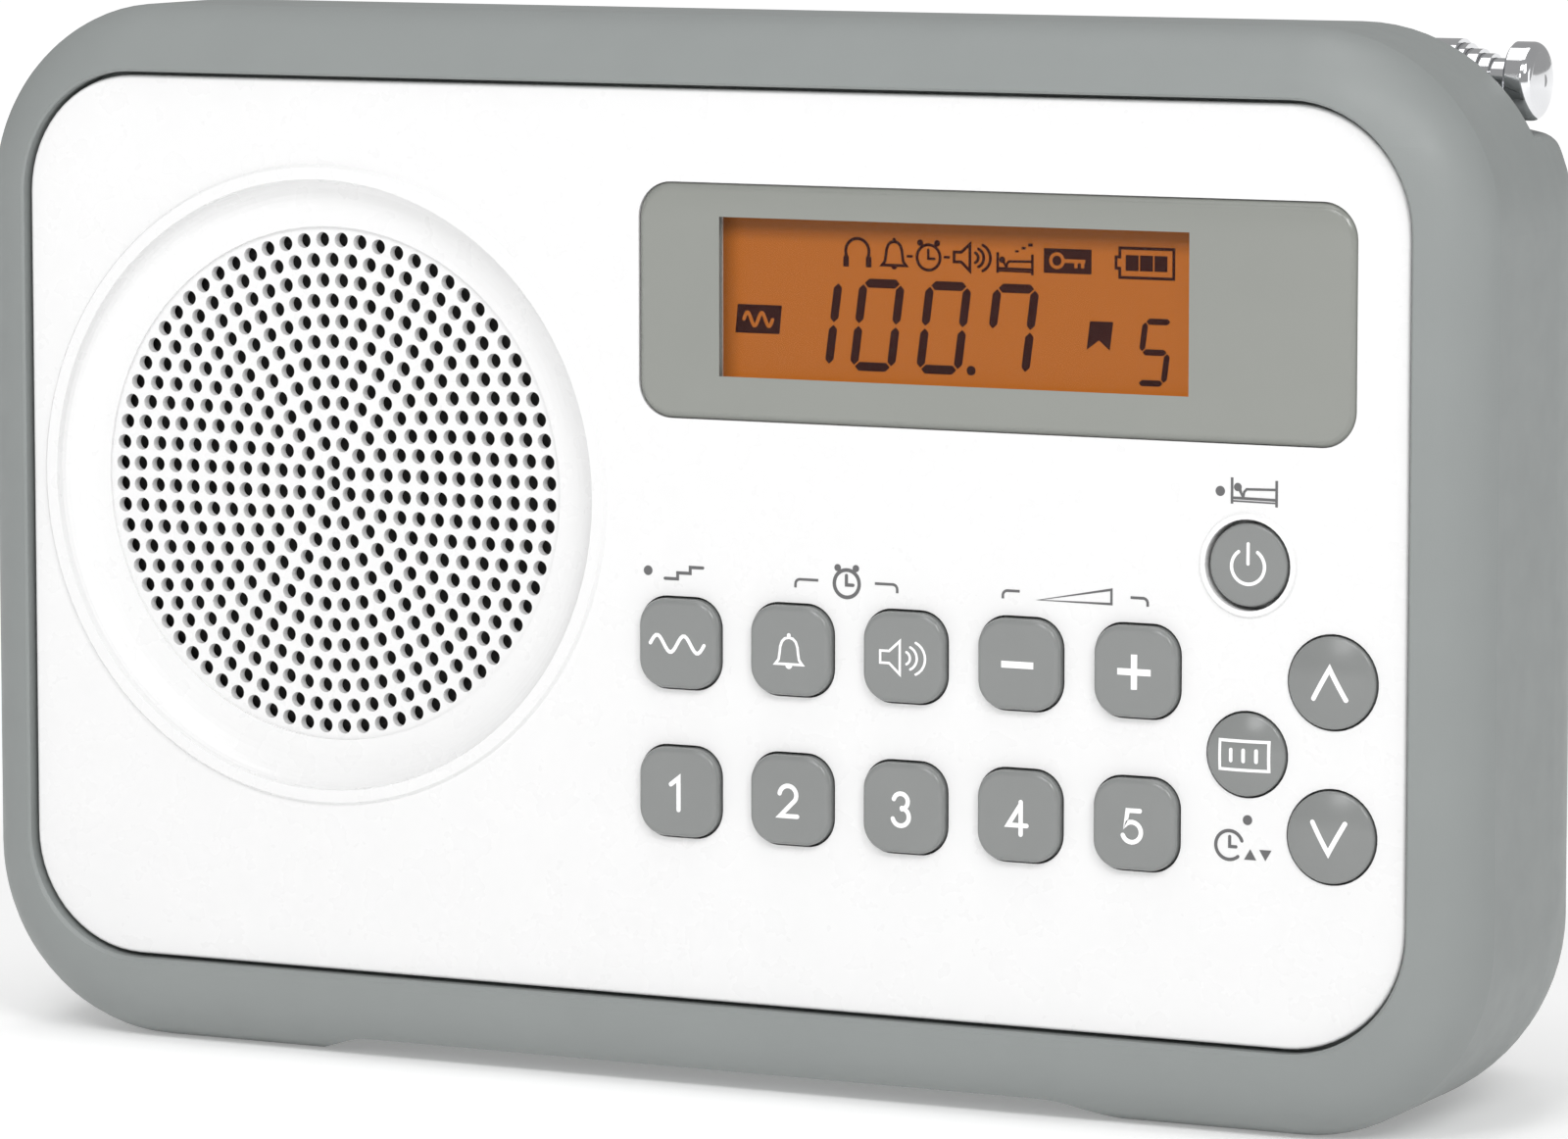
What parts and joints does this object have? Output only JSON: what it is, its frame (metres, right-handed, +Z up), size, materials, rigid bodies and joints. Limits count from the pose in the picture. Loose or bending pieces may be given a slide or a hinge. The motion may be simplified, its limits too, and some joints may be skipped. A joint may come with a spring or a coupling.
{
  "type": "tabletop radio",
  "caption": "Portable tabletop radio with a wrap-round case, round perforated speaker grille, lit display, square and round keys, battery bay and telescopic antenna.",
  "frame": {"origin": "centre of the overall box, on the surface that the feet stand on", "axes": "+Z up, the front face looks along -Y, +X to the right as seen from the front"},
  "size_m": [0.19, 0.058, 0.1225],
  "materials": {
    "case_grey": "fine matte soft-touch grey",
    "panel_white": "semi-gloss white",
    "key_grey": "satin grey",
    "window_clear": "clear, polished, with a bevelled edge",
    "mask_grey": "grey print",
    "display_amber": "lit amber liquid crystal cell",
    "guide_clear": "clear acrylic",
    "nylon_white": "natural nylon",
    "silicone_grey": "translucent silicone",
    "board_green": "solder resist",
    "component_black": "moulded epoxy and shrink sleeve",
    "tinned_steel": "tinned",
    "ferrite_grey": "sintered ferrite",
    "copper": "enamelled winding",
    "basket_steel": "zinc-plated pressing",
    "paper_black": "treated paper",
    "foam_black": "closed-cell foam",
    "cell_sleeve": "printed steel can",
    "nickel": "nickel plate",
    "antenna_chrome": "chrome plate",
    "screw_steel": "zinc plate",
    "wire_insulation": "PVC insulation"
  },
  "bodies": {
    "cabinet": {"front_frame": "case_grey", "rear_shell": "case_grey", "front_panel": "panel_white", "speaker_grille": "panel_white", "display_window": "window_clear", "window_mask": "mask_grey", "lcd_glass": "display_amber", "light_guide": "guide_clear", "lcd_frame": "nylon_white", "lcd_connector": "silicone_grey", "keypad_mat": "silicone_grey", "main_board": "board_green", "board_chips": "component_black", "tuner_shield": "tinned_steel", "board_capacitors": "component_black", "ferrite_rod": "ferrite_grey", "ferrite_coil": "copper", "ferrite_clips": "nylon_white", "speaker_gasket": "foam_black", "speaker_basket": "basket_steel", "speaker_magnet": "ferrite_grey", "speaker_cone": "paper_black", "jack_board": "board_green", "headphone_jack": "component_black", "dc_jack": "component_black", "lock_switch": "tinned_steel", "battery_cells": "cell_sleeve", "battery_contacts": "nickel", "case_screws": "screw_steel", "board_screws": "screw_steel", "speaker_screws": "screw_steel", "speaker_leads": "wire_insulation", "battery_leads": "wire_insulation", "antenna_lead": "wire_insulation"},
    "antenna_base": {"antenna_base": "antenna_chrome", "antenna_pin": "antenna_chrome", "antenna_screw": "screw_steel"},
    "antenna_section_1": {"antenna_knuckle": "antenna_chrome", "antenna_tube_1": "antenna_chrome"},
    "antenna_section_2": {"antenna_tube_2": "antenna_chrome"},
    "antenna_section_3": {"antenna_tube_3": "antenna_chrome"},
    "antenna_section_4": {"antenna_tube_4": "antenna_chrome"},
    "antenna_section_5": {"antenna_tube_5": "antenna_chrome", "antenna_tip": "antenna_chrome"},
    "battery_door": {"battery_door": "case_grey"},
    "lock_slider": {"lock_slider": "key_grey"},
    "key_power": {"key_power": "key_grey"},
    "key_display": {"key_display": "key_grey"},
    "key_tune_up": {"key_tune_up": "key_grey"},
    "key_tune_down": {"key_tune_down": "key_grey"},
    "key_band": {"key_band": "key_grey"},
    "key_alarm_buzzer": {"key_alarm_buzzer": "key_grey"},
    "key_alarm_radio": {"key_alarm_radio": "key_grey"},
    "key_volume_down": {"key_volume_down": "key_grey"},
    "key_volume_up": {"key_volume_up": "key_grey"},
    "key_preset_1": {"key_preset_1": "key_grey"},
    "key_preset_2": {"key_preset_2": "key_grey"},
    "key_preset_3": {"key_preset_3": "key_grey"},
    "key_preset_4": {"key_preset_4": "key_grey"},
    "key_preset_5": {"key_preset_5": "key_grey"}
  },
  "joints": [
    {"name": "key_power_press", "type": "slide", "parent": "cabinet", "child": "key_power", "axis": [0, 1, 0], "range_m": [0, 0.0008], "stiffness_N_per_m": 1200, "springref_m": -0.0004},
    {"name": "key_display_press", "type": "slide", "parent": "cabinet", "child": "key_display", "axis": [0, 1, 0], "range_m": [0, 0.0008], "stiffness_N_per_m": 1200, "springref_m": -0.0004},
    {"name": "key_tune_up_press", "type": "slide", "parent": "cabinet", "child": "key_tune_up", "axis": [0, 1, 0], "range_m": [0, 0.0008], "stiffness_N_per_m": 1200, "springref_m": -0.0004},
    {"name": "key_tune_down_press", "type": "slide", "parent": "cabinet", "child": "key_tune_down", "axis": [0, 1, 0], "range_m": [0, 0.0008], "stiffness_N_per_m": 1200, "springref_m": -0.0004},
    {"name": "key_band_press", "type": "slide", "parent": "cabinet", "child": "key_band", "axis": [0, 1, 0], "range_m": [0, 0.0008], "stiffness_N_per_m": 1200, "springref_m": -0.0004},
    {"name": "key_alarm_buzzer_press", "type": "slide", "parent": "cabinet", "child": "key_alarm_buzzer", "axis": [0, 1, 0], "range_m": [0, 0.0008], "stiffness_N_per_m": 1200, "springref_m": -0.0004},
    {"name": "key_alarm_radio_press", "type": "slide", "parent": "cabinet", "child": "key_alarm_radio", "axis": [0, 1, 0], "range_m": [0, 0.0008], "stiffness_N_per_m": 1200, "springref_m": -0.0004},
    {"name": "key_volume_down_press", "type": "slide", "parent": "cabinet", "child": "key_volume_down", "axis": [0, 1, 0], "range_m": [0, 0.0008], "stiffness_N_per_m": 1200, "springref_m": -0.0004},
    {"name": "key_volume_up_press", "type": "slide", "parent": "cabinet", "child": "key_volume_up", "axis": [0, 1, 0], "range_m": [0, 0.0008], "stiffness_N_per_m": 1200, "springref_m": -0.0004},
    {"name": "key_preset_1_press", "type": "slide", "parent": "cabinet", "child": "key_preset_1", "axis": [0, 1, 0], "range_m": [0, 0.0008], "stiffness_N_per_m": 1200, "springref_m": -0.0004},
    {"name": "key_preset_2_press", "type": "slide", "parent": "cabinet", "child": "key_preset_2", "axis": [0, 1, 0], "range_m": [0, 0.0008], "stiffness_N_per_m": 1200, "springref_m": -0.0004},
    {"name": "key_preset_3_press", "type": "slide", "parent": "cabinet", "child": "key_preset_3", "axis": [0, 1, 0], "range_m": [0, 0.0008], "stiffness_N_per_m": 1200, "springref_m": -0.0004},
    {"name": "key_preset_4_press", "type": "slide", "parent": "cabinet", "child": "key_preset_4", "axis": [0, 1, 0], "range_m": [0, 0.0008], "stiffness_N_per_m": 1200, "springref_m": -0.0004},
    {"name": "key_preset_5_press", "type": "slide", "parent": "cabinet", "child": "key_preset_5", "axis": [0, 1, 0], "range_m": [0, 0.0008], "stiffness_N_per_m": 1200, "springref_m": -0.0004},
    {"name": "lock_slide", "type": "slide", "parent": "cabinet", "child": "lock_slider", "axis": [0, 0, 1], "range_m": [0, 0.003]},
    {"name": "battery_door_hinge", "type": "hinge", "parent": "cabinet", "child": "battery_door", "pos_m": [0, 0.02795, 0.0256], "axis": [-1, 0, 0], "range_deg": [0, 75]},
    {"name": "antenna_swivel", "type": "hinge", "parent": "cabinet", "child": "antenna_base", "pos_m": [-0.08, 0.0032, 0.11], "axis": [0, 0, 1], "range_deg": [0, 180]},
    {"name": "antenna_elbow", "type": "hinge", "parent": "antenna_base", "child": "antenna_section_1", "pos_m": [-0.08, 0.0032, 0.1158], "axis": [0, -1, 0], "range_deg": [0, 90]},
    {"name": "antenna_slide_1", "type": "slide", "parent": "antenna_section_1", "child": "antenna_section_2", "axis": [1, 0, 0], "range_m": [0, 0.13]},
    {"name": "antenna_slide_2", "type": "slide", "parent": "antenna_section_2", "child": "antenna_section_3", "axis": [1, 0, 0], "range_m": [0, 0.13]},
    {"name": "antenna_slide_3", "type": "slide", "parent": "antenna_section_3", "child": "antenna_section_4", "axis": [1, 0, 0], "range_m": [0, 0.13]},
    {"name": "antenna_slide_4", "type": "slide", "parent": "antenna_section_4", "child": "antenna_section_5", "axis": [1, 0, 0], "range_m": [0, 0.13]}
  ]
}
